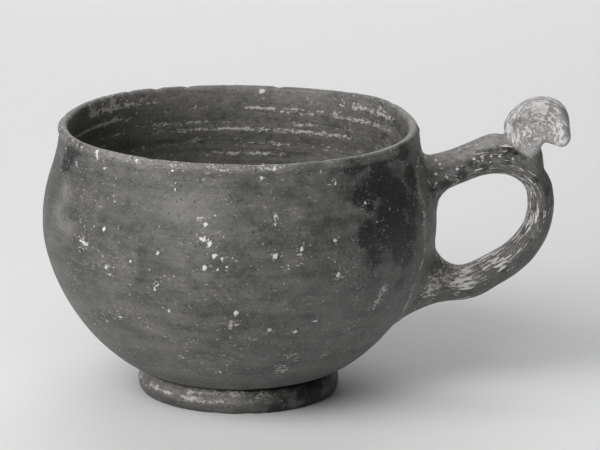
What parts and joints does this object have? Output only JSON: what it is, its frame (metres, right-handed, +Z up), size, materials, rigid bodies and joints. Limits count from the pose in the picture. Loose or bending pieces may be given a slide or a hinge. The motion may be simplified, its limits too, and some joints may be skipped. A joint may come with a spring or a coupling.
{
  "type": "cup",
  "caption": "Ancient grey-ware drinking cup: round-bellied bowl on a ring foot, with a loop handle topped by a flat thumb knob.",
  "frame": {"origin": "middle of the bounding box over the handle and bowl, on the plane that the ring foot stands on", "axes": "+Z up along the bowl's axis; +X from the bowl towards the handle; +Y across the handle's plane"},
  "size_m": [0.1594, 0.119, 0.0916],
  "materials": {
    "grey_ware": "matt to slightly burnished dark grey fired clay, worn at the edges, with pale encrusted specks"
  },
  "bodies": {
    "root": {"cup": "grey_ware"}
  },
  "joints": []
}
